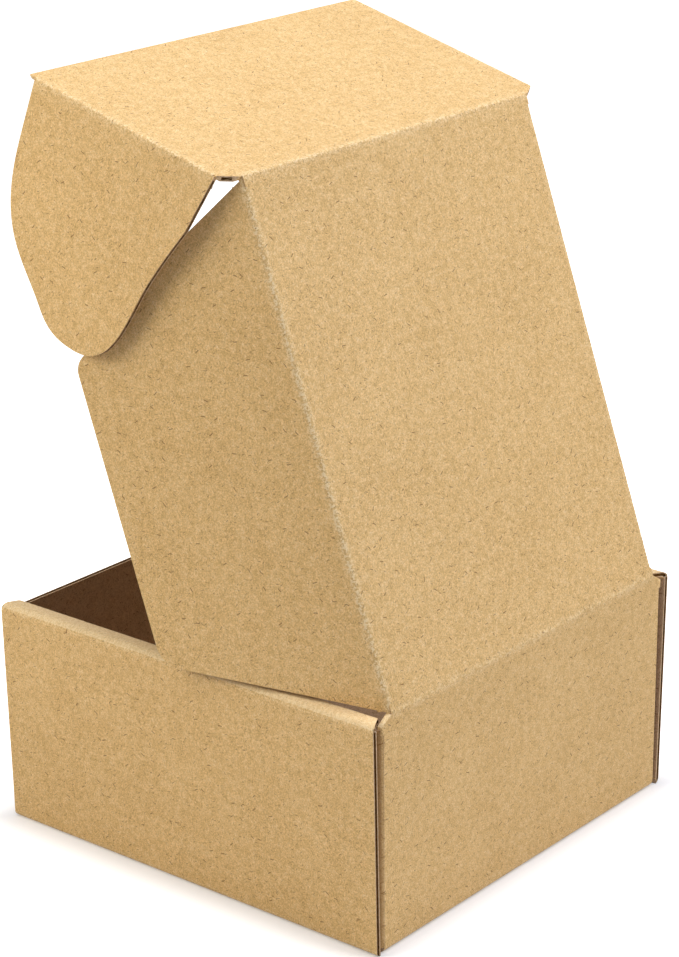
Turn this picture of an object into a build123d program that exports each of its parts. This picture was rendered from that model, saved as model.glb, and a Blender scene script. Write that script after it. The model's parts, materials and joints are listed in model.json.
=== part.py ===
from build123d import *
from math import cos, radians, sin, tan
import os

# A small roll-end mailer box: one die-cut sheet of fine-flute board, folded into a tray with a
# hinged lid. Millimetres. The origin is the middle of the tray's underside, +Z is up, the lid is
# hinged along the +Y side and its tuck panel hangs over the -Y side.

# Board
board = 1.2  # thickness of the sheet
layer_gap = 0.1  # air between the layers of a rolled side wall
fold_gap = 0.05  # room between two panels that share a moving crease
inner_bend = 0.15  # inside radius of a fixed fold

# Tray
tray_width = 104.0  # outside at the base, along X
tray_depth = 104.0  # outside, along Y
tray_height = 52.0  # underside to the crown of the rolled rims
side_lean = 1.1  # how far an outer side panel leans out at its rim
wall_drop = 0.7  # how far the front wall and the corner flaps stop below a rim's underside
rim_bend = 0.6  # inside radius of the fold at a rim's outer edge
corner_bend = 0.5  # inside radius of the fold between a wall and its corner flap
corner_flap_length = 45.0  # how far a corner flap runs along the side wall
corner_flap_bevel = 8.0  # bevel on the top corner of a corner flap
rim_end_inset = 2.4  # how far a rolled panel stops short of the tray's outside at each end
rim_land = 0.5  # what is left square of a rim's end beside its outer edge
tab_width = 16.0  # each rolled panel is locked by two tabs in slots through the base
tab_spacing = 52.0  # between the middles of the two tabs
tab_taper = 1.0  # how much each tab narrows at each side, down to its end
tab_clearance = 0.3  # room round a tab in its slot
tab_recess = 0.2  # how far a tab's end stays above the underside

# Lid
hinge_rise = 0.6  # how far the lid's crease, along the top of the back wall, stands above the rims
lid_angle = 70.6  # the lid's opening, measured from shut
lid_overrun = 6.25  # how much longer the lid is, hinge crease to tuck crease, than the tray is deep
lid_inset = 4.8  # the tray's side to the crease of a side flap
flap_fold = 78.5  # side flap's fold, measured from flat
flap_clearance = 1.5  # how much shorter a side flap is, crease to free edge, than the tray is high
flap_front_bevel = 30.6  # slope of the edge beside the tuck panel
flap_toe_bevel = 25.6  # and its gentler slope next to the crease
flap_toe_length = 16.8  # how far from the crease the gentler slope goes
flap_back_bevel = 18.7  # slope of the edge that stands on the rim
flap_front_round = 4.0
flap_bend_round = 60.0  # and at the change of slope
flap_back_round = 6.0
flap_heel = 0.65  # hinge crease to the start of the flap's back edge
flap_toe = 0.9  # end of the flap's front edge to the tuck crease

# Tuck panel and its ears
tuck_fold = 55.3  # measured from flat
tuck_depth = 53.9  # crease to free edge
tuck_overhang = 5.1  # the crease of a side flap to the crease of the ear beside it
tuck_shoulder = 2.6  # where the panel reaches its full width, measured from its crease
shoulder_step = 1.0  # the shoulder starts gently over this width
shoulder_rise = 0.35  # and by this much
ear_fold = 82.5  # measured from flat
ear_length = 48.2  # crease to tip
ear_setback = 1.7  # how far the ear starts below the tuck panel's free edge
ear_straight = 13.0  # length of the ear's straight upper edge
ear_tip = 24.9  # the tip's distance from the line of the tuck crease
ear_front_curve = [(46.6, 33.6), (37.5, 42.4)]  # points between the straight edge and the tip
ear_back_curve = [(15.0, 41.1), (11.4, 28.0), (6.6, 15.2)]  # points between the tip and the crease

# Places that follow from the sizes
half_width = tray_width / 2
half_depth = tray_depth / 2
corner_flap_x = half_width - board - layer_gap
rolled_panel_x = corner_flap_x - board - layer_gap
rim_underside = tray_height - board
wall_top = rim_underside - wall_drop
rolled_panel_foot = board + layer_gap
mid = board / 2
mid_bend = inner_bend + mid
rolled_panel_end = half_depth - rim_end_inset
hinge_height = tray_height + hinge_rise
lid_length = tray_depth + lid_overrun
lid_width = tray_width - 2 * lid_inset
tuck_width = lid_width + 2 * tuck_overhang
flap_depth = tray_height - flap_clearance

# Directions of the open lid: up its length, and from its outer face into the box.
across = Vector(1, 0, 0)
lid_up = Vector(0, -cos(radians(lid_angle)), sin(radians(lid_angle)))
lid_inward = Vector(0, -sin(radians(lid_angle)), -cos(radians(lid_angle)))
hinge_point = Vector(0, half_depth, hinge_height)
lid_plane = Plane(origin=hinge_point, x_dir=across, z_dir=lid_inward)

# The tray. Its base, outer side panels, rims and rolled inner panels are one strip across X.
with BuildPart() as tray:
    with BuildSketch(Plane.XZ) as side_strip:
        with BuildLine():
            rolled_mid = rolled_panel_x - mid
            rim_mid = half_width + side_lean - mid
            base_mid = half_width - mid
            FilletPolyline(
                (rolled_mid, rolled_panel_foot),
                (rolled_mid, tray_height - mid),
                (rim_mid, tray_height - mid),
                (base_mid, mid),
                (-base_mid, mid),
                (-rim_mid, tray_height - mid),
                (-rolled_mid, tray_height - mid),
                (-rolled_mid, rolled_panel_foot),
                radius=[mid_bend, rim_bend + mid, mid_bend, mid_bend, rim_bend + mid, mid_bend],
            )
        trace(line_width=board)
    extrude(amount=half_depth, both=True)

    # The rolled panels stop short of the front and back walls, and the rims taper back to them.
    with BuildSketch(Plane.XY.offset(rolled_panel_foot - layer_gap / 2)) as panel_ends:
        with BuildLine():
            Polyline(
                (rolled_panel_x - 2 * board, rolled_panel_end),
                (corner_flap_x, rolled_panel_end),
                (corner_flap_x, half_depth + board),
                (rolled_panel_x - 2 * board, half_depth + board),
                close=True,
            )
        make_face()
        mirror(about=Plane.YZ)
        mirror(about=Plane.XZ)
    extrude(amount=rim_underside - inner_bend - rolled_panel_foot, mode=Mode.SUBTRACT)
    with BuildSketch(Plane.XY.offset(rim_underside - inner_bend - layer_gap)) as rim_ends:
        with BuildLine():
            Polyline(
                (rolled_panel_x - 2 * board, rolled_panel_end),
                (rolled_panel_x - board, rolled_panel_end),
                (half_width + side_lean - rim_land, half_depth),
                (half_width + side_lean - rim_land, half_depth + board),
                (rolled_panel_x - 2 * board, half_depth + board),
                close=True,
            )
        make_face()
        mirror(about=Plane.YZ)
        mirror(about=Plane.XZ)
    extrude(amount=2 * board, mode=Mode.SUBTRACT)

    # Slits at the base's corners, where the die cuts the side walls free of the front and back.
    with BuildSketch(Plane.XY) as corner_slits:
        with GridLocations(0, tray_depth, 1, 2):
            Rectangle(tray_width - 2 * board, 2 * (board + inner_bend))
    extrude(amount=board, mode=Mode.SUBTRACT)

    # The front wall, base and back wall are one strip across Y.
    with BuildSketch(Plane.YZ) as wall_strip:
        with BuildLine():
            wall_mid = half_depth - mid
            FilletPolyline(
                (-wall_mid, wall_top),
                (-wall_mid, mid),
                (wall_mid, mid),
                (wall_mid, wall_top),
                radius=[mid_bend, mid_bend],
            )
        trace(line_width=board)
    extrude(amount=corner_flap_x - board, both=True)

    # Each wall carries a corner flap at both ends, folded in between the side wall's two layers.
    with BuildSketch(Plane.XY.offset(rolled_panel_foot)) as corner_flaps:
        with BuildLine():
            flap_mid = corner_flap_x - mid
            FilletPolyline(
                (flap_mid, half_depth - corner_flap_length),
                (flap_mid, wall_mid),
                (-flap_mid, wall_mid),
                (-flap_mid, half_depth - corner_flap_length),
                radius=[corner_bend + mid, corner_bend + mid],
            )
        trace(line_width=board)
        mirror(about=Plane.XZ)
    extrude(amount=wall_top - rolled_panel_foot)
    for side in (-1, 1):
        with BuildSketch(Plane.YZ.offset(side * flap_mid)) as flap_tips:
            with BuildLine():
                Polyline(
                    (half_depth - corner_flap_length, wall_top - corner_flap_bevel),
                    (half_depth - corner_flap_length + corner_flap_bevel, wall_top),
                    (half_depth - corner_flap_length + corner_flap_bevel, wall_top + layer_gap / 2),
                    (half_depth - corner_flap_length - board, wall_top + layer_gap / 2),
                    (half_depth - corner_flap_length - board, wall_top - corner_flap_bevel),
                    close=True,
                )
            make_face()
            mirror(about=Plane.YZ)
        extrude(amount=mid + layer_gap / 2, both=True, mode=Mode.SUBTRACT)

    # The back wall rises to the hinge crease between the rims, with a sloping shoulder at each end.
    with BuildSketch(Plane.XZ.offset(-half_depth)) as hinge_rise:
        with BuildLine():
            Polyline(
                (-corner_flap_x + mid, wall_top - board),
                (corner_flap_x - mid, wall_top - board),
                (corner_flap_x - mid, rim_underside),
                (lid_width / 2, hinge_height),
                (-lid_width / 2, hinge_height),
                (-corner_flap_x + mid, rim_underside),
                close=True,
            )
        make_face()
    extrude(amount=board)

    # Slots through the base, and the tabs of the rolled panels that lock into them.
    with BuildSketch(Plane.XY) as slots:
        with GridLocations(2 * rolled_mid, tab_spacing, 2, 2):
            Rectangle(board + 2 * tab_clearance, tab_width + 2 * tab_clearance)
    extrude(amount=board, mode=Mode.SUBTRACT)
    for side in (-1, 1):
        with BuildSketch(Plane.YZ.offset(side * rolled_mid)) as tabs:
            with GridLocations(tab_spacing, 0, 2, 1):
                with BuildLine():
                    Polyline(
                        (-tab_width / 2, rolled_panel_foot + board),
                        (-tab_width / 2, rolled_panel_foot),
                        (-tab_width / 2 + tab_taper, tab_recess),
                        (tab_width / 2 - tab_taper, tab_recess),
                        (tab_width / 2, rolled_panel_foot),
                        (tab_width / 2, rolled_panel_foot + board),
                        close=True,
                    )
                make_face()
        extrude(amount=mid, both=True)
tray.part.label = "tray"

# The lid's cover. The round outsides of its two side creases belong to it. It is cut level where
# it meets the back wall and mitred where it meets the tuck panel.
flap_crease_x = lid_width / 2 - board * tan(radians(flap_fold / 2))
flap_crease = hinge_point + lid_inward * board + across * flap_crease_x
tuck_point = hinge_point + lid_up * lid_length
tuck_mitre = lid_up * cos(radians(tuck_fold / 2)) + lid_inward * sin(radians(tuck_fold / 2))
with BuildPart() as lid:
    with BuildSketch(lid_plane) as cover_half:
        with BuildLine():
            Polyline((0, 0), (flap_crease_x, 0), (flap_crease_x, lid_length), (0, lid_length), close=True)
        make_face()
    extrude(amount=board)
    with BuildSketch(Plane(origin=flap_crease, x_dir=lid_up, z_dir=(-1, 0, 0))) as crease_section:
        with BuildLine():
            Polyline((0, 0), (lid_length, 0), (lid_length, board), (0, board), close=True)
        make_face()
    revolve(axis=Axis(flap_crease, -lid_up), revolution_arc=flap_fold)
    mirror(about=Plane.YZ)
    split(bisect_by=Plane(origin=(0, 0, hinge_height + fold_gap), z_dir=(0, 0, 1)), keep=Keep.TOP)
    split(bisect_by=Plane(origin=tuck_point, z_dir=tuck_mitre).offset(-fold_gap / 2), keep=Keep.BOTTOM)
lid.part.label = "lid"

# The side flaps of the lid. Each turns about the inner line of its crease.
flap_normal = across * sin(radians(flap_fold)) - lid_inward * cos(radians(flap_fold))
flap_edge = flap_depth - board * tan(radians(flap_fold / 2))
flap_front = lid_length - flap_toe
flap_bend = flap_front - flap_toe_length * tan(radians(flap_toe_bevel))
with BuildPart() as side_flap_right:
    with BuildSketch(Plane(origin=flap_crease, x_dir=lid_up, z_dir=flap_normal)) as flap_outline:
        with BuildLine():
            FilletPolyline(
                (flap_heel, fold_gap),
                (flap_heel + flap_edge * tan(radians(flap_back_bevel)), flap_edge),
                (flap_bend - (flap_edge - flap_toe_length) * tan(radians(flap_front_bevel)), flap_edge),
                (flap_bend, flap_toe_length),
                (flap_front, fold_gap),
                radius=[flap_back_round, flap_front_round, flap_bend_round],
            )
            Line((flap_front, fold_gap), (flap_heel, fold_gap))
        make_face()
    extrude(amount=board)
side_flap_right.part.label = "side_flap_right"

with BuildPart() as side_flap_left:
    mirror(side_flap_right.part, about=Plane.YZ)
side_flap_left.part.label = "side_flap_left"

# The tuck panel. It is a little wider than the cover, with a shoulder at each end of its crease.
tuck_along = lid_up * cos(radians(tuck_fold)) + lid_inward * sin(radians(tuck_fold))
tuck_inward = lid_inward * cos(radians(tuck_fold)) - lid_up * sin(radians(tuck_fold))
ear_crease = tuck_point + across * (tuck_width / 2)
ear_mitre = across * cos(radians(ear_fold / 2)) + tuck_inward * sin(radians(ear_fold / 2))
with BuildPart() as tuck_panel:
    with BuildSketch(Plane(origin=tuck_point, x_dir=across, z_dir=tuck_inward)) as tuck_half:
        with BuildLine():
            Polyline(
                (0, tuck_depth),
                (0, 0),
                (lid_width / 2, 0),
                (lid_width / 2 + shoulder_step, shoulder_rise),
                (tuck_width / 2, tuck_shoulder),
                (tuck_width / 2, tuck_depth),
                close=True,
            )
        make_face()
    extrude(amount=board)
    split(bisect_by=Plane(origin=tuck_point, z_dir=tuck_mitre).offset(fold_gap / 2), keep=Keep.TOP)
    split(bisect_by=Plane(origin=ear_crease, z_dir=ear_mitre).offset(-fold_gap / 2), keep=Keep.BOTTOM)
    mirror(about=Plane.YZ)
tuck_panel.part.label = "tuck_panel"

# The ears, which hang from the tuck panel's ends outside the side flaps.
ear_normal = across * sin(radians(ear_fold)) - tuck_inward * cos(radians(ear_fold))
ear_top = tuck_depth - ear_setback
with BuildPart() as ear_right:
    with BuildSketch(Plane(origin=ear_crease, x_dir=tuck_along, z_dir=ear_normal)) as ear_outline:
        with BuildLine():
            Polyline((tuck_shoulder, 0), (ear_top, 0), (ear_top, ear_straight))
            Spline(
                (ear_top, ear_straight),
                *ear_front_curve,
                (ear_tip, ear_length),
                tangents=[(0, 1), (-1, 0)],
            )
            Spline(
                (ear_tip, ear_length),
                *ear_back_curve,
                (tuck_shoulder, 0),
                tangents=[(-1, 0), (-1, -4)],
            )
        make_face()
    extrude(amount=-board)
    split(bisect_by=Plane(origin=ear_crease, z_dir=ear_mitre).offset(fold_gap / 2), keep=Keep.TOP)
ear_right.part.label = "ear_right"

with BuildPart() as ear_left:
    mirror(ear_right.part, about=Plane.YZ)
ear_left.part.label = "ear_left"

os.makedirs("parts", exist_ok=True)
export_step(tray.part, "parts/tray.step")
export_step(lid.part, "parts/lid.step")
export_step(side_flap_right.part, "parts/side_flap_right.step")
export_step(side_flap_left.part, "parts/side_flap_left.step")
export_step(tuck_panel.part, "parts/tuck_panel.step")
export_step(ear_right.part, "parts/ear_right.step")
export_step(ear_left.part, "parts/ear_left.step")
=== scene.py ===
import json
import math
import random

import bmesh
import bpy
from mathutils import Matrix, Vector


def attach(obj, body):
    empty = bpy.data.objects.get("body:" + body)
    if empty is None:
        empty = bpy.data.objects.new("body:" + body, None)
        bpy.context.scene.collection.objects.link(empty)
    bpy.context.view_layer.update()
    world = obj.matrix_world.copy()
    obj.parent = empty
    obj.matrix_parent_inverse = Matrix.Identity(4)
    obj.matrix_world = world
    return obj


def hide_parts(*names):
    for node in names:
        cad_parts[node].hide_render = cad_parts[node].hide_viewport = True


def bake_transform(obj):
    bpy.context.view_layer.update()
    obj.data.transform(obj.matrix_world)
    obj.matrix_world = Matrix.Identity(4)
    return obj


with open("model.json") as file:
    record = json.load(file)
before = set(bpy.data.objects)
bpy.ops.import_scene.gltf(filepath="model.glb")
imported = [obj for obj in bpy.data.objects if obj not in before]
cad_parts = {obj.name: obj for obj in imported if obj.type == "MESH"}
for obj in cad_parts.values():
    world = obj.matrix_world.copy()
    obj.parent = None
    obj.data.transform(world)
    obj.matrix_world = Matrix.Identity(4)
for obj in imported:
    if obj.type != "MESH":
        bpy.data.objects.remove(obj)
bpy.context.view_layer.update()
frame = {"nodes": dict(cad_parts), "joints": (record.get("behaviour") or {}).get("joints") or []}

# The tray. One sheet of brown kraft board with a fine fluted core, die-cut, creased and folded
# up. Its side walls are double: each rolls over at the rim and locks into slots in the base.
MM = 0.001
BOARD = 1.2 * MM
LINER = 0.27 * MM
FIBRE_RELIEF = 0.06 * MM  # how far the fibres stand up from the paper
SAME_POINT = 0.001 * MM  # points nearer than this are one point
STRAIGHT_ON = 0.996  # cosine of 5 degrees: a face turned less than that looks along a way
PLAIN_WEAR = 0.35  # how scuffed a fold is that nothing rubs


def made(tree, kind, **values):
    """A new node with its settings."""
    node = tree.nodes.new(kind)
    for name, value in values.items():
        setattr(node, name, value)
    return node


def plug(tree, value, socket):
    """Sets a socket to a number or colour, or links another socket to it."""
    if isinstance(value, bpy.types.NodeSocket):
        tree.links.new(value, socket)
    else:
        socket.default_value = value


def sums(tree, what, *values):
    """A Math node on numbers or sockets."""
    node = made(tree, "ShaderNodeMath", operation=what)
    for value, socket in zip(values, node.inputs):
        plug(tree, value, socket)
    return node.outputs[0]


def vectors(tree, what, *values):
    """A Vector Math node on vectors or sockets. Products and lengths come out as a number."""
    node = made(tree, "ShaderNodeVectorMath", operation=what)
    sockets = (node.inputs[0], node.inputs["Scale"]) if what == "SCALE" else node.inputs
    for value, socket in zip(values, sockets):
        plug(tree, value, socket)
    return node.outputs["Value" if what in ("DOT_PRODUCT", "LENGTH") else "Vector"]


def ramp(tree, value, low, high, start=0.0, end=1.0):
    """A smooth step of value from start to end, as it goes from low to high."""
    node = made(tree, "ShaderNodeMapRange", interpolation_type="SMOOTHSTEP")
    for entry, socket in zip((value, low, high, start, end), node.inputs):
        plug(tree, entry, socket)
    return node.outputs["Result"]


def noise(tree, where, per_mm, detail, rough):
    """Cloudy noise from 0 to 1, with per_mm lumps to a millimetre."""
    node = made(tree, "ShaderNodeTexNoise")
    plug(tree, where, node.inputs["Vector"])
    node.inputs["Scale"].default_value = per_mm
    node.inputs["Detail"].default_value = detail
    node.inputs["Roughness"].default_value = rough
    return node.outputs["Fac"]


def blended(tree, share, first, second):
    """The first colour with a share of the second."""
    node = made(tree, "ShaderNodeMix", data_type="RGBA")
    plug(tree, share, node.inputs["Factor"])
    plug(tree, first, node.inputs["A"])
    plug(tree, second, node.inputs["B"])
    return node.outputs["Result"]


def fibres(tree, where, normal, per_mm, half_length, half_width, share, shift, split=None):
    """Short bent fibres that lie in the paper's surface, one at most in each cell of the sheet.

    About that share of the cells has one. With split, that part of them comes out first and the
    rest second."""
    bow = 0.9  # the fibres bend by up to half of this either way, per mm
    faint = 0.3  # this part of them is drawn in full, and the others more faintly
    moved = vectors(tree, "ADD", where, (shift, -shift, 2 * shift))
    cells = made(tree, "ShaderNodeTexVoronoi", voronoi_dimensions="3D", feature="F1")
    plug(tree, moved, cells.inputs["Vector"])
    cells.inputs["Scale"].default_value = per_mm
    local = vectors(tree, "SUBTRACT", moved, cells.outputs["Position"])
    chance = cells.outputs["Color"]
    leaning = vectors(tree, "SUBTRACT", chance, (0.5, 0.5, 0.5))
    along = vectors(tree, "NORMALIZE", vectors(tree, "CROSS_PRODUCT", normal, leaning))
    across = vectors(tree, "CROSS_PRODUCT", normal, along)
    parts = made(tree, "ShaderNodeSeparateColor")
    plug(tree, chance, parts.inputs[0])
    run = vectors(tree, "DOT_PRODUCT", local, along)
    bend = sums(tree, "MULTIPLY", sums(tree, "SUBTRACT", parts.outputs[0], 0.5), bow)
    off = sums(tree, "ADD", vectors(tree, "DOT_PRODUCT", local, across),
               sums(tree, "MULTIPLY", bend, sums(tree, "MULTIPLY", run, run)))

    def fading(distance, half, solid):
        """1 within the solid part of half the fibre's size, then down to 0 at its edge."""
        return ramp(tree, sums(tree, "ABSOLUTE", distance), half * solid, half, 1.0, 0.0)

    ends = fading(run, half_length, solid=0.6)
    sides = fading(off, half_width, solid=0.4)
    shown = ramp(tree, parts.outputs[2], 1 - share, 1 - share * faint)
    drawn = sums(tree, "MULTIPLY", sums(tree, "MULTIPLY", ends, sides), shown)
    if split is None:
        return drawn
    first = sums(tree, "MULTIPLY", drawn, sums(tree, "LESS_THAN", parts.outputs[1], split))
    return first, sums(tree, "SUBTRACT", drawn, first)


def new_paper(name, roughness, gloss):
    """A material with its nodes and shader, and the place on the object in mm."""
    paper = bpy.data.materials.new(name)
    paper.use_nodes = True
    tree = paper.node_tree
    shader = tree.nodes["Principled BSDF"]
    shader.inputs["Roughness"].default_value = roughness
    shader.inputs["Specular IOR Level"].default_value = gloss
    place = made(tree, "ShaderNodeTexCoord").outputs["Object"]
    return paper, tree, shader, vectors(tree, "SCALE", place, 1 / MM)


def surface(tree, shader, colour, height, strength):
    """Gives a paper its colour, and the bump of its fibres."""
    plug(tree, colour, shader.inputs["Base Color"])
    bump = made(tree, "ShaderNodeBump")
    bump.inputs["Strength"].default_value = strength
    bump.inputs["Distance"].default_value = FIBRE_RELIEF
    plug(tree, height, bump.inputs["Height"])
    plug(tree, bump.outputs["Normal"], shader.inputs["Normal"])


def kraft_paper(name, brown, swing, pale, dark):
    """Unbleached kraft liner: a cloudy brown ground of curled fibres, with dark and pale flecks.

    swing is how far its cloudiness moves the brown. The mesh's "crease" value wears it: up to 1
    it breaks into pale specks, from 1 to 1.5 it turns evenly pale, and from 0 to -1 it darkens as
    painted shade."""
    paper, tree, shader, where = new_paper(name, roughness=0.78, gloss=0.35)
    normal = made(tree, "ShaderNodeTexCoord").outputs["Normal"]
    cloud = noise(tree, where, per_mm=0.06, detail=1.0, rough=0.5)
    formation = noise(tree, where, per_mm=0.6, detail=2.0, rough=0.6)
    curl = noise(tree, where, per_mm=1.6, detail=1.5, rough=0.6)
    elsewhere = vectors(tree, "ADD", where, (31.0, 7.0, 13.0))
    curl_dark = noise(tree, elsewhere, per_mm=1.5, detail=1.5, rough=0.6)
    grain = noise(tree, where, per_mm=3.0, detail=1.0, rough=0.7)

    def thread(field, width):
        """Thin curling lines, where a noise field passes its middle value."""
        off = sums(tree, "ABSOLUTE", sums(tree, "SUBTRACT", field, 0.5))
        return ramp(tree, off, 0.0, width, 1.0, 0.0)

    patchy = ramp(tree, formation, 0.42, 0.58)
    unpatchy = sums(tree, "MULTIPLY_ADD", patchy, -0.6, 1.0)
    pale_thread = sums(tree, "MULTIPLY", thread(curl, width=0.045), patchy)
    dark_thread = sums(tree, "MULTIPLY", thread(curl_dark, width=0.04), unpatchy)
    fleck_long = fibres(tree, where, normal, per_mm=0.3, half_length=0.62, half_width=0.13,
                        share=0.4, shift=3.0)
    fleck_short, fleck_pale = fibres(tree, where, normal, per_mm=0.7, half_length=0.36,
                                     half_width=0.11, share=0.75, shift=11.0, split=0.5)

    tone = 0.0
    for field, strength in ((cloud, 0.14), (formation, 0.14), (grain, 1.15)):
        tone = sums(tree, "MULTIPLY_ADD", sums(tree, "SUBTRACT", field, 0.5), strength, tone)
    colour = vectors(tree, "ADD", brown, vectors(tree, "SCALE", swing, tone))
    for cover, strength, paint in ((pale_thread, 0.5, pale), (dark_thread, 0.42, dark),
                                   (fleck_pale, 0.5, pale), (fleck_short, 0.7, dark),
                                   (fleck_long, 0.95, dark)):
        colour = blended(tree, sums(tree, "MULTIPLY", cover, strength), colour, (*paint, 1))

    # Where the sheet is folded or rubbed, its surface is scuffed and the pale inner fibres show.
    # Above 1 the paleness is partly painted light. Below 0 it darkens instead: painted shade.
    worn = made(tree, "ShaderNodeAttribute", attribute_name="crease").outputs["Fac"]
    broken = ramp(tree, sums(tree, "ADD", curl, sums(tree, "MULTIPLY", grain, 0.6)), 0.81, 0.88)
    even = ramp(tree, worn, 1.0, 1.5, 0.08, 0.28)
    specks = ramp(tree, worn, 1.0, 1.5, 0.8, 0.2)
    scuffs_and_painted_light = sums(tree, "MULTIPLY", worn, sums(tree, "MULTIPLY_ADD", broken, specks, even))
    painted_shade = ramp(tree, worn, -1.0, 0.0, 0.7, 0.0)
    colour = blended(tree, scuffs_and_painted_light, colour, (*pale, 1))
    colour = blended(tree, painted_shade, colour, (*dark, 1))

    height = sums(tree, "MULTIPLY_ADD", curl, 0.8, sums(tree, "MULTIPLY", grain, 0.6))
    height = sums(tree, "MULTIPLY_ADD", worn, sums(tree, "MULTIPLY", curl, 1.5), height)
    surface(tree, shader, colour, height, strength=0.6)
    return paper


def cut_paper(name, brown, deep, per_mm):
    """Paper where the die cut it: matt, a little fuzzy, and uneven in tone."""
    paper, tree, shader, where = new_paper(name, roughness=1.0, gloss=0.0)
    fuzz = noise(tree, where, per_mm, detail=3.0, rough=0.7)
    colour = blended(tree, ramp(tree, fuzz, 0.3, 0.7), (*deep, 1), (*brown, 1))
    surface(tree, shader, colour, fuzz, strength=0.7)
    return paper


outer_paper = kraft_paper("kraft_outer", brown=(0.745, 0.49, 0.205), swing=(0.62, 0.5, 0.31),
                          pale=(0.95, 0.76, 0.46), dark=(0.26, 0.12, 0.035))
inner_paper = kraft_paper("kraft_inner", brown=(0.56, 0.405, 0.27), swing=(0.47, 0.41, 0.36),
                          pale=(0.76, 0.58, 0.4), dark=(0.2, 0.11, 0.055))
lip_paper = cut_paper("kraft_cut", brown=(0.82, 0.6, 0.38), deep=(0.55, 0.36, 0.2), per_mm=2.4)
# The core paper is painted shade: a dark sheet for the shade in the hollow flutes of a cut edge.
core_shade_paper = cut_paper("kraft_core_painted_shade", brown=(0.24, 0.12, 0.04), deep=(0.1, 0.045, 0.014), per_mm=1.6)
PAPERS = (outer_paper, inner_paper, lip_paper, core_shade_paper)
OUTER, INNER, LIP, SHADED_CORE = range(len(PAPERS))


def placed(name, data):
    """A new object in the scene."""
    thing = bpy.data.objects.new(name, data)
    bpy.context.scene.collection.objects.link(thing)
    return thing


def facing(direction):
    """A test for faces that look along a direction."""
    direction = direction.normalized()
    return lambda face: face.normal.dot(direction) > STRAIGHT_ON


def board(name, is_outer, is_inner, is_cut, chamfers=(), grooves=(),
          rolled=lambda face: False, wear=lambda face, vert: PLAIN_WEAR):
    """A packed panel with its two liners, rounded creases, and cut edges that show the core.
    The sunk core is painted dark as shade.

    The tests tell outer liner, inner liner and cut edges. The faces left are the rounded outsides
    of folds, and wear says how worn each is; above 1 that is partly painted light, and below 0
    it is painted shade. A chamfer is its width, a point of its line and the line's way. A groove
    is what groove() is given. rolled finds ends of board bent right over.
    Gives the middle lines of the grooved edges."""
    along_line, near_line = 0.999, 0.1 * MM
    roll_step, roll_depth = 0.01 * MM, 0.25 * MM
    mesh = bmesh.new()
    mesh.from_mesh(frame["nodes"][name].data)
    bmesh.ops.remove_doubles(mesh, verts=mesh.verts, dist=SAME_POINT)
    bmesh.ops.dissolve_limit(mesh, angle_limit=math.radians(0.3), verts=mesh.verts,
                             edges=mesh.edges)
    for width, start, direction in chamfers:
        chosen = []
        for edge in mesh.edges:
            line = (edge.verts[1].co - edge.verts[0].co).normalized()
            gap = edge.verts[0].co - start
            if (abs(line.dot(direction)) > along_line
                    and (gap - direction * gap.dot(direction)).length < near_line):
                chosen.append(edge)
        bmesh.ops.bevel(mesh, geom=chosen, offset=width, segments=3, profile=0.5, affect="EDGES")
    mesh.normal_update()
    worn = mesh.loops.layers.float.new("crease")
    for face in mesh.faces:
        if is_cut(face):
            face.material_index = LIP
        elif is_outer(face):
            face.material_index = OUTER
        elif is_inner(face):
            face.material_index = INNER
        else:
            face.material_index = OUTER
            for loop in face.loops:
                loop[worn] = wear(face, loop.vert)
    rails = []
    for outer, chosen, clear in grooves:
        rails += groove(mesh, outer, chosen, clear)
    # The ends of the rolled rims: a lip of liner round a sunk middle painted dark as shade.
    for face in [face for face in mesh.faces if rolled(face)]:
        bmesh.ops.inset_region(mesh, faces=[face], thickness=LINER)
        sunk = bmesh.ops.inset_region(mesh, faces=[face], thickness=roll_step, depth=-roll_depth)
        for part in sunk["faces"] + [face]:
            part.material_index = SHADED_CORE
    bmesh.ops.triangulate(mesh, faces=[face for face in mesh.faces if len(face.verts) > 4])
    bmesh.ops.recalc_face_normals(mesh, faces=mesh.faces)
    data = bpy.data.meshes.new(name + "_board")
    mesh.to_mesh(data)
    mesh.free()
    for paper in PAPERS:
        data.materials.append(paper)
    data.shade_smooth()
    data.set_sharp_from_angle(angle=math.radians(35))
    piece = placed(name + "_board", data)
    weighted = piece.modifiers.new("flat panels", "WEIGHTED_NORMAL")
    weighted.keep_sharp = True
    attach(piece, name)
    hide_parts(name)
    return rails


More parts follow.
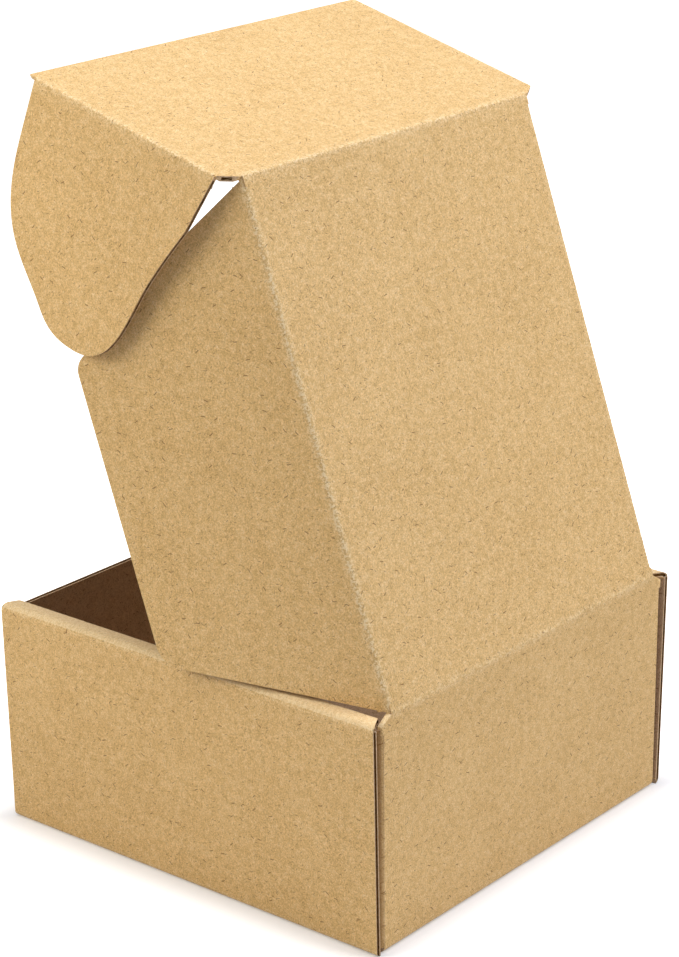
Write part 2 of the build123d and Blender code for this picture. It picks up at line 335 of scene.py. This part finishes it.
def groove(mesh, outer, chosen, clear, deep=0.3 * MM):
    """Sets the core back between the two liners along a panel's cut edges, except near its folds.
    Its sunk faces get the dark core paper: painted shade of the hollow flutes.

    outer is the way the panel's outer liner looks, and chosen picks among the cut edges. clear
    lists the folds to keep off: a point, the way from it, and how far. Gives the middle line of
    each edge: a list of points, each with the way outwards."""
    on_line = 0.01 * MM
    least_lean = 0.8  # keeps the corners of a sharply turning edge from sinking too deep

    def picked():
        return [face for face in mesh.faces if face.material_index == LIP and chosen(face)]

    top = max(vert.co.dot(outer) for face in picked() for vert in face.verts)
    planes = [(outer * (top - LINER), outer), (outer * (top - BOARD + LINER), outer)]
    planes += [(start + away * gap, away) for start, away, gap in clear]
    for point, way in planes:
        faces = picked()
        geom = set(faces)
        geom |= {edge for face in faces for edge in face.edges}
        geom |= {vert for face in faces for vert in face.verts}
        bmesh.ops.bisect_plane(mesh, geom=list(geom), dist=SAME_POINT, plane_co=point, plane_no=way)
    mesh.normal_update()
    core = []
    for face in picked():
        middle = face.calc_center_median()
        if (LINER < top - middle.dot(outer) < BOARD - LINER
                and all((middle - start).dot(away) > gap for start, away, gap in clear)):
            core.append(face)
    inside = set(core)
    ways = {}
    for face in core:
        for loop in face.loops:
            ways[loop.vert] = ways.get(loop.vert, Vector()) + face.normal * loop.calc_angle()
    sunk = {}
    for vert, way in ways.items():
        way.normalize()
        lean = min(way.dot(face.normal) for face in vert.link_faces if face in inside)
        sunk[vert] = mesh.verts.new(vert.co - way * deep / max(lean, least_lean))
    border = [edge for edge in {edge for face in core for edge in face.edges}
              if sum(face in inside for face in edge.link_faces) == 1]
    for face in core:
        mesh.faces.new([sunk[vert] for vert in face.verts]).material_index = SHADED_CORE
    rim = {}
    for edge in border:
        a, b = edge.verts
        mesh.faces.new((a, b, sunk[b], sunk[a])).material_index = SHADED_CORE
        if max(abs(top - LINER - vert.co.dot(outer)) for vert in (a, b)) < on_line:
            rim.setdefault(a, []).append(b)
            rim.setdefault(b, []).append(a)
    to_middle = outer * (LINER - BOARD / 2)
    rails = []
    while rim:
        vert = min(rim, key=lambda v: (len(rim[v]), tuple(v.co)))
        chain = [vert]
        while vert is not None:
            after = next((v for v in rim.pop(vert) if v in rim), None)
            chain += [after] if after else []
            vert = after
        rails.append([(v.co + to_middle, ways[v].copy()) for v in chain])
    bmesh.ops.delete(mesh, geom=core, context="FACES_ONLY")
    return rails


# How far from the tray's middle the layers of a double side wall are, and heights over its
# underside. Each lies in clear space beside the faces that it tells apart.
ROLLED_PANEL = 48 * MM  # the rolled-in panel starts just beyond this
OUTER_PANEL = 50.75 * MM  # and the outer side panel beyond this, with the corner flap between
OVER_BASE = 1.25 * MM
OVER_WALLS = 50.5 * MM  # just over the front wall and the corner flaps, and under the rims' tops


def rim_end(face):
    """The sloped ends of the rolled rims, which show the board bent right over."""
    n = face.normal
    return 0.3 < abs(n.x) < 0.7 and abs(n.y) > 0.7 and face.calc_center_median().z > OVER_WALLS


def tray_outer(face):
    """The underside, all that looks out of the tray, and the rolled-in panels from inside it."""
    c, n = face.calc_center_median(), face.normal
    if n.z < -STRAIGHT_ON and c.z < 0.1 * MM:
        return True
    if abs(n.x) > STRAIGHT_ON:
        looks_out = n.x * c.x > 0
        return looks_out and abs(c.x) > 50 * MM or not looks_out and abs(c.x) < 48.5 * MM
    return n.y * c.y > 0 and abs(n.y) > STRAIGHT_ON


def tray_inner(face):
    """Every other flat face, except the tops of the rims, which are pale with wear and painted
    light.
    """
    c, n = face.calc_center_median(), face.normal
    rim_top = n.z > STRAIGHT_ON and c.z > 51.5 * MM
    return max(abs(v) for v in n) > STRAIGHT_ON and not tray_outer(face) and not rim_top


def tray_cut(face):
    """The tray's cut edges."""
    c, n = face.calc_center_median(), face.normal
    out = abs(c.x)
    # The tops of the front wall, of the corner flaps, and of the back wall under the hinge crease.
    if n.z > STRAIGHT_ON and out < 50.7 * MM and (49 * MM < c.z < OVER_WALLS or c.z > 52.5 * MM):
        return True
    # The bevels on the corner flaps.
    if n.z > 0.6 and 49.5 * MM < out < OUTER_PANEL and 40 * MM < c.z < OVER_WALLS:
        return True
    # The ends of the outer side panels.
    if abs(n.y) > 0.7 and out > OUTER_PANEL and c.z > 0.5 * MM:
        return n.y * c.y > 0
    # The ends of the rolled-in panels and of the corner flaps.
    if abs(n.y) > STRAIGHT_ON and abs(c.y) < 49.7 * MM and out > ROLLED_PANEL and c.z > OVER_BASE:
        return True
    return rim_end(face)


def panel_end(x_side, y_side, across, up):
    """The cut end of a side panel, between two distances from the middle and two heights."""
    def chosen(face):
        c = face.calc_center_median()
        return (face.normal.y * y_side > STRAIGHT_ON and across[0] < c.x * x_side < across[1]
                and up[0] < c.z < up[1])
    return chosen


def front_wall_top(face):
    c = face.calc_center_median()
    return face.normal.z > STRAIGHT_ON and c.y < 0 and c.z < OVER_WALLS


def tray_wear_and_painted_light(face, vert):
    """The rolled rims are pale: wear, and painted light on their tops where the lid shades them.
    The corner folds beside the side panels are darkened with painted shade.
    """
    c = face.calc_center_median()
    # The rims' tops: pale with wear, and paler still as painted light where the lid shades them.
    if abs(c.x) > ROLLED_PANEL and c.z > 51 * MM:
        return 1.5
    # Painted shade on the corner folds beside the side panels, deepest next to them.
    if abs(c.x) > ROLLED_PANEL and abs(c.y) > 50.2 * MM and c.z > 1.7 * MM:
        shade_start, shade_width = 49.1 * MM, 1.3 * MM
        return -min(1.0, max(0.0, (abs(vert.co.x) - shade_start) / shade_width))
    return PLAIN_WEAR


LEAN = math.radians(1.1)  # of the outer side panels
corners = [(x_side, y_side) for x_side in (1, -1) for y_side in (1, -1)]
tray_grooves = [(Vector((x * math.cos(LEAN), 0, -math.sin(LEAN))),
                 panel_end(x, y, (OUTER_PANEL, math.inf), (0.5 * MM, 50 * MM)), ())
                for x, y in corners]
tray_grooves.append((Vector((0, -1, 0)), front_wall_top, ()))
tray_grooves += [(Vector((x, 0, 0)),
                  panel_end(x, y, (ROLLED_PANEL, 49.6 * MM), (OVER_BASE, math.inf)), ())
                 for x, y in corners]
board("tray", tray_outer, tray_inner, tray_cut, grooves=tray_grooves, rolled=rim_end,
      wear=tray_wear_and_painted_light)

# The lid's cover. It is the same sheet, hinged along the top of the back wall by a crease. The
# round outsides of its two side creases belong to it, and it has no cut edge of its own.
joints = {joint["name"]: joint for joint in frame["joints"]}
ACROSS = Vector((1, 0, 0))


def crease_point(joint):
    """A point of the line that a fold turns about."""
    return Vector(joints[joint]["pos_m"])


def flat_normal(name, towards):
    """The way a flat panel's outer face looks."""
    faces = frame["nodes"][name].data.polygons
    normal = max(faces, key=lambda face: face.area).normal.copy()
    return normal if normal.dot(towards) > 0 else -normal


hinge_line = crease_point("lid_hinge")
lid_up = -Vector(joints["side_flap_right_fold"]["axis"]).normalized()
lid_in = ACROSS.cross(lid_up)
tuck_line = crease_point("tuck_fold")
tuck_out = Vector(joints["ear_right_fold"]["axis"]).normalized()
tuck_in = ACROSS.cross(tuck_out)
tuck_round = (0.45 * MM, tuck_line, ACROSS)
board("lid", facing(-lid_in), facing(lid_in), lambda face: False, chamfers=[tuck_round])

# The medium: the thin waved paper glued between the two liners. It shows where the die cut
# across it, along the free edges of the flaps and ears, and as one line where it cut along it.
FLUTE_PITCH = 2.4 * MM
STEPS_PER_FLUTE = 12.0
medium_paper = cut_paper("kraft_medium", brown=(0.5, 0.33, 0.17), deep=(0.3, 0.18, 0.08),
                         per_mm=2.0)
wave = bpy.data.node_groups.new("flute wave", "GeometryNodeTree")
wave.interface.new_socket("Rails", in_out="INPUT", socket_type="NodeSocketGeometry")
for entry, kind in (("Across", "Vector"), ("Along", "Vector"), ("Pitch", "Float"),
                    ("Height", "Float"), ("Depth", "Float"), ("Paper", "Float"),
                    ("Material", "Material")):
    wave.interface.new_socket(entry, in_out="INPUT", socket_type="NodeSocket" + kind)
wave.interface.new_socket("Wave", in_out="OUTPUT", socket_type="NodeSocketGeometry")


def then(before, kind, **values):
    """The wave's next node, with the geometry so far plugged into it."""
    node = made(wave, kind, **values)
    plug(wave, before.outputs[0], node.inputs[0])
    return node


entries = made(wave, "NodeGroupInput")
given = entries.outputs
curve = then(entries, "GeometryNodeMeshToCurve")
even = then(curve, "GeometryNodeResampleCurve", mode="LENGTH")
plug(wave, sums(wave, "DIVIDE", given["Pitch"], STEPS_PER_FLUTE), even.inputs["Length"])
keep = then(even, "GeometryNodeStoreNamedAttribute", data_type="FLOAT_VECTOR", domain="POINT")
keep.inputs["Name"].default_value = "outwards"
tangent = made(wave, "GeometryNodeInputTangent").outputs["Tangent"]
plug(wave, vectors(wave, "CROSS_PRODUCT", tangent, given["Across"]), keep.inputs["Value"])
here = made(wave, "GeometryNodeInputPosition").outputs["Position"]
turn = sums(wave, "DIVIDE", vectors(wave, "DOT_PRODUCT", here, given["Along"]), given["Pitch"])
sway = sums(wave, "SINE", sums(wave, "MULTIPLY", turn, math.tau))
shift = then(keep, "GeometryNodeSetPosition")
plug(wave, vectors(wave, "SCALE", given["Across"], sums(wave, "MULTIPLY", sway, given["Height"])),
     shift.inputs["Offset"])
line = then(shift, "GeometryNodeCurveToMesh")
outwards = made(wave, "GeometryNodeInputNamedAttribute", data_type="FLOAT_VECTOR")
outwards.inputs["Name"].default_value = "outwards"
ribbon = then(line, "GeometryNodeExtrudeMesh", mode="EDGES")
inwards = vectors(wave, "SCALE", outwards.outputs["Attribute"], -1.0)
plug(wave, inwards, ribbon.inputs["Offset"])
plug(wave, given["Depth"], ribbon.inputs["Offset Scale"])
thick = then(ribbon, "GeometryNodeExtrudeMesh", mode="FACES")
plug(wave, given["Paper"], thick.inputs["Offset Scale"])
thick.inputs["Individual"].default_value = False
coloured = then(thick, "GeometryNodeSetMaterial")
plug(wave, given["Material"], coloured.inputs["Material"])
real = then(coloured, "GeometryNodeRealizeInstances")
then(real, "NodeGroupOutput")


def medium(body, rails, across, along):
    """The medium's wave along a panel's cut edges, as one piece that rides with the panel."""
    sizes = {"Across": across, "Along": along, "Pitch": FLUTE_PITCH,
             "Height": (BOARD - 2 * LINER) * 0.42, "Depth": 0.28 * MM, "Paper": 0.12 * MM,
             "Material": medium_paper}
    points, edges = [], []
    for rail in rails:
        way = (rail[1][0] - rail[0][0]).cross(across)
        rail = rail if way.dot(rail[0][1]) > 0 else rail[::-1]
        edges += [(len(points) + i, len(points) + i + 1) for i in range(len(rail) - 1)]
        points += [point for point, outward in rail]
    data = bpy.data.meshes.new(body + "_medium")
    data.from_pydata(points, edges, [])
    piece = placed(body + "_medium", data)
    maker = piece.modifiers.new("wave", "NODES")
    maker.node_group = wave
    for socket in wave.interface.items_tree:
        if socket.item_type == "SOCKET" and socket.in_out == "INPUT" and socket.name in sizes:
            maker[socket.identifier] = sizes[socket.name]
    piece.data.update()
    bpy.context.view_layer.update()
    shaped = piece.evaluated_get(bpy.context.evaluated_depsgraph_get())
    plain = bpy.data.meshes.new_from_object(shaped)
    piece.modifiers.remove(maker)
    piece.data = plain
    plain.name = body + "_medium"
    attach(piece, body)


# The lid's side flaps. They are cut with sloped ends, so that they slip past the rolled rims,
# and here they lean a little outwards and stand on those rims.
SIDES = (("right", 1), ("left", -1))


def end_panel(name, hand, along, clear, rounds=()):
    """A flat flap or ear beyond a crease that runs along. Its other sides are cut edges.

    Gives the way its outer face looks, and its way from the crease."""
    fold_line = crease_point(name + "_fold")
    outer = flat_normal(name, ACROSS * hand)
    away = outer.cross(along) * hand
    rails = board(name, facing(outer), facing(-outer),
                  lambda face: abs(face.normal.dot(outer)) < 0.1 and face.normal.dot(-away) < 0.99,
                  chamfers=[(width, fold_line, along) for width in rounds],
                  grooves=[(outer, lambda face: True, [(fold_line, away, clear)])])
    medium(name, rails, outer, along)
    return outer, away


flaps = {side: end_panel("side_flap_" + side, hand, lid_up, clear=0.3 * MM)
         for side, hand in SIDES}

# The tuck panel, which goes down inside the front wall when the box is shut. It is wider than
# the cover, because its ears pass outside the side flaps.
EAR_LINE = 52.3 * MM  # from the middle to an ear's crease
EAR_ROUND = 0.5 * MM
EAR_CLEAR = 1.3 * MM
ear_rounds = [(EAR_ROUND, tuck_line + ACROSS * EAR_LINE * hand, tuck_out) for side, hand in SIDES]
tuck_folds = [(tuck_line, tuck_out, 0.8 * MM)]
tuck_folds += [(ACROSS * EAR_LINE * hand, -ACROSS * hand, EAR_CLEAR) for side, hand in SIDES]
tuck_rails = board("tuck_panel", facing(-tuck_in), facing(tuck_in),
                   lambda face: abs(face.normal.dot(tuck_in)) < 0.1,
                   chamfers=[tuck_round] + ear_rounds,
                   grooves=[(-tuck_in, lambda face: True, tuck_folds)])
medium("tuck_panel", tuck_rails, -tuck_in, tuck_out)

# The ears: the tuck panel's rounded ends, folded back to lie outside the side flaps. Each is
# flat board, cut all round but for its crease, and only that fold holds it.
ears = {side: end_panel("ear_" + side, hand, tuck_out, clear=EAR_CLEAR, rounds=(EAR_ROUND,))
        for side, hand in SIDES}

# The creases. The die presses a line into the board, and the sheet folds there: the outer liner
# stretches round the fold and scuffs, and the inner one is pushed together.
PROFILE = (1.9, 1.5, 1.15, 0.85)  # a strip's flat part on each panel, in mm from the bend's end
BEND_POINTS = 9
SKIN = 0.02 * MM  # how far a strip lies off the board


def crease(name, start, end, away_first, away_second, radius, paper, side, worn,
           seed):
    """A strip of liner from one panel round the fold to the next, from start to end.

    The aways lead from the fold along the two panels. side is 1 on the fold's outside and -1 on
    its inside, and worn is how worn the strip is at the middle of its bend."""
    rng = random.Random(seed)
    fold = math.pi - away_first.angle(away_second)
    reach = radius * math.tan(fold / 2)
    hub = (away_first + away_second).normalized() * (radius / math.cos(fold / 2))
    half_arc = radius * fold / 2
    first_spoke = (away_first * reach - hub).normalized()
    second_spoke = (away_second * reach - hub).normalized()

    def tired(along):
        """The wear, 1 at the middle of the bend and none from 1.6 mm along the strip."""
        return max(0.0, 1 - along / (1.6 * MM)) ** 1.2

    def flat_part(steps, away, spoke):
        return [(away * (reach + step * MM), spoke, tired(half_arc + step * MM)) for step in steps]

    # The strip's section: each point's place beside the fold, the way out of the paper, its wear.
    section = flat_part(PROFILE, away_first, first_spoke)
    halfway = (BEND_POINTS - 1) / 2
    for i in range(BEND_POINTS):
        spoke = first_spoke.slerp(second_spoke, i / (BEND_POINTS - 1))
        section.append((hub + spoke * radius, spoke, tired(half_arc * abs(i - halfway) / halfway)))
    section += flat_part(reversed(PROFILE), away_second, second_spoke)

    count = max(2, round((end - start).length / (0.6 * MM)))
    mesh = bmesh.new()
    layer = mesh.loops.layers.float.new("crease")
    rows, wear = [], {}
    for i in range(count + 1):
        at = start.lerp(end, i / count)
        row = []
        for offset, spoke, wear_here in section:
            rough = rng.uniform(-1, 1) * 0.025 * MM * wear_here
            vert = mesh.verts.new(at + offset + spoke * (side * (SKIN + rough)))
            wear[vert] = wear_here * worn
            row.append(vert)
        rows.append(row)
    for low, high in zip(rows, rows[1:]):
        for a, b, c, d in zip(low, low[1:], high[1:], high):
            mesh.faces.new((a, b, c, d))
    for face in mesh.faces:
        face.smooth = True
        for loop in face.loops:
            loop[layer] = wear[loop.vert]
    mesh.normal_update()
    out = sum((spoke for offset, spoke, wear_here in section), Vector()) * side
    if sum((face.normal for face in mesh.faces), Vector()).dot(out) < 0:
        bmesh.ops.reverse_faces(mesh, faces=mesh.faces)
    data = bpy.data.meshes.new(name)
    mesh.to_mesh(data)
    mesh.free()
    data.materials.append(paper)
    piece = placed(name, data)
    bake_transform(piece)


def both_creases(name, start, end, away_first, away_second, worn, seed):
    """The outer and the inner liner of a fold that turns about its outer line."""
    fold = math.pi - away_first.angle(away_second)
    inside = (away_first + away_second).normalized() * (BOARD / math.cos(fold / 2))
    crease(name + "_outer", start, end, away_first, away_second,
           radius=0.7 * MM, paper=outer_paper, side=1, worn=worn, seed=seed)
    crease(name + "_inner", start + inside, end + inside, away_first, away_second,
           radius=0.25 * MM, paper=inner_paper, side=-1, worn=0.6, seed=seed + 1)


half_lid = ACROSS * (47.0 * MM)
both_creases("hinge_crease", hinge_line - half_lid, hinge_line + half_lid,
             Vector((0, 0, -1)), lid_up, worn=0.55, seed=1)
both_creases("tuck_crease", tuck_line - half_lid, tuck_line + half_lid,
             -lid_up, tuck_out, worn=0.75, seed=3)
lid_length = (tuck_line - hinge_line).length
EAR_CREASE = (3.2 * MM, 52.0 * MM)  # where its strip starts and ends, from the tuck crease
FLAP_CREASE = (0.9 * MM, lid_length - 1.6 * MM)  # and the flap's, from the hinge crease
for side, hand in SIDES:
    ear_line = crease_point("ear_" + side + "_fold")
    ear_away = ears[side][1]
    both_creases("ear_crease_" + side,
                 ear_line + tuck_out * EAR_CREASE[0], ear_line + tuck_out * EAR_CREASE[1],
                 ACROSS * -hand, ear_away, worn=0.75, seed=5 + hand)
    flap_line = crease_point("side_flap_" + side + "_fold")
    flap_outer, flap_away = flaps[side]
    fold = flap_outer.angle(-lid_in)
    corner = flap_line - lid_in * BOARD + ACROSS * (hand * BOARD * math.tan(fold / 2))
    crease("side_crease_" + side, corner + lid_up * FLAP_CREASE[0],
           corner + lid_up * FLAP_CREASE[1], ACROSS * -hand, flap_away,
           radius=BOARD, paper=outer_paper, side=1, worn=1.0, seed=9 + hand)

# The studio: a white floor that keeps the box's soft shadow, and four soft lights: a big one
# overhead, one above the tuck panel, one at the right ear's side and one from far behind the lid.
scene = bpy.context.scene


def backdrop_rays(tree):
    """1 for rays that see the backdrop itself, directly or in a reflection, and 0 for others."""
    rays = made(tree, "ShaderNodeLightPath").outputs
    return sums(tree, "MAXIMUM", rays["Is Camera Ray"],
                sums(tree, "MAXIMUM", rays["Is Glossy Ray"], rays["Is Transmission Ray"]))


floor_mesh = bpy.data.meshes.new("floor")
floor_mesh.from_pydata([(-3, -3, 0), (3, -3, 0), (3, 3, 0), (-3, 3, 0)], [], [(0, 1, 2, 3)])
floor = placed("floor", floor_mesh)
floor_paint = bpy.data.materials.new("floor_white")
floor_paint.use_nodes = True
tree = floor_paint.node_tree
tree.nodes.clear()
matt = made(tree, "ShaderNodeBsdfDiffuse")
matt.inputs["Color"].default_value = (0.8, 0.8, 0.8, 1)
glow = made(tree, "ShaderNodeEmission")
glow.inputs["Color"].default_value = (1, 1, 1, 1)
# The floor glows white all round, and only faintly within 50 mm of the middle, where the box is.
split = made(tree, "ShaderNodeSeparateXYZ")
plug(tree, made(tree, "ShaderNodeTexCoord").outputs["Object"], split.inputs[0])
far = sums(tree, "MAXIMUM", sums(tree, "ABSOLUTE", split.outputs["X"]),
           sums(tree, "ABSOLUTE", split.outputs["Y"]))
clear_of_box = ramp(tree, far, 50 * MM, 68 * MM, 0.2, 1.0)
plug(tree, sums(tree, "MULTIPLY", backdrop_rays(tree), clear_of_box), glow.inputs["Strength"])
both = made(tree, "ShaderNodeAddShader")
plug(tree, matt.outputs["BSDF"], both.inputs[0])
plug(tree, glow.outputs["Emission"], both.inputs[1])
plug(tree, both.outputs[0], made(tree, "ShaderNodeOutputMaterial").inputs["Surface"])
floor_mesh.materials.append(floor_paint)

world = bpy.data.worlds.new("studio") if scene.world is None else scene.world
scene.world = world
world.use_nodes = True
tree = world.node_tree
tree.nodes.clear()
sky = made(tree, "ShaderNodeBackground")
sky.inputs["Color"].default_value = (1, 1, 1, 1)
sky_light, sky_seen = 0.05, 1.0
plug(tree, ramp(tree, backdrop_rays(tree), 0.0, 1.0, sky_light, sky_seen), sky.inputs["Strength"])
plug(tree, sky.outputs[0], made(tree, "ShaderNodeOutputWorld").inputs["Surface"])

LIT_POINT = Vector((0, 0, 0.08))  # in the middle of the box, and every light faces it


def soft_light(name, place, size, power, colour):
    """A square soft light."""
    lamp = bpy.data.lights.new(name, "AREA")
    lamp.shape = "SQUARE"
    lamp.size = size
    lamp.energy = power
    lamp.color = colour
    holder = placed(name, lamp)
    holder.location = place
    holder.rotation_mode = "QUATERNION"
    holder.rotation_quaternion = (LIT_POINT - Vector(place)).to_track_quat("-Z", "Y")


soft_light("overhead", (-0.03, 0.02, 0.77), size=0.6, power=3.5, colour=(0.97, 0.99, 1.12))
soft_light("above_tuck", (-0.29, 0.49, 0.61), size=0.5, power=2.65, colour=(0.98, 1, 1.06))
soft_light("ear_side", (0.33, -0.21, 0.31), size=0.3, power=1.08, colour=(1.065, 1.01, 0.9))
soft_light("behind_lid", (-0.5, 1.18, 0.75), size=0.9, power=2.6, colour=(1.05, 1, 0.9))

# The camera is long and looks down a little. Its place and aim were fitted to the photograph.
PHOTO_HEIGHT = 957  # pixels
FOCAL_LENGTH = 2850.5  # pixels
SENSOR = 36.0
camera = bpy.data.cameras.new("camera")
camera.sensor_width = SENSOR
camera.lens = FOCAL_LENGTH * SENSOR / PHOTO_HEIGHT
camera.shift_x = -7.02 / PHOTO_HEIGHT
camera.shift_y = 7.18 / PHOTO_HEIGHT
camera.clip_start = 0.01
camera.clip_end = 20
right = Vector((-0.6302695, 0.77634733, -0.00672219))
down = Vector((0.26966141, 0.21078604, -0.93960203))
forward = Vector((-0.72804058, -0.59401521, -0.34220292))
turned = Matrix((right, -down, -forward)).transposed().to_4x4()
eye = placed("camera", camera)
eye.matrix_world = Matrix.Translation(Vector((452.453, 371.641, 289.012)) * MM) @ turned
scene.camera = eye
scene.view_settings.view_transform = "Standard"
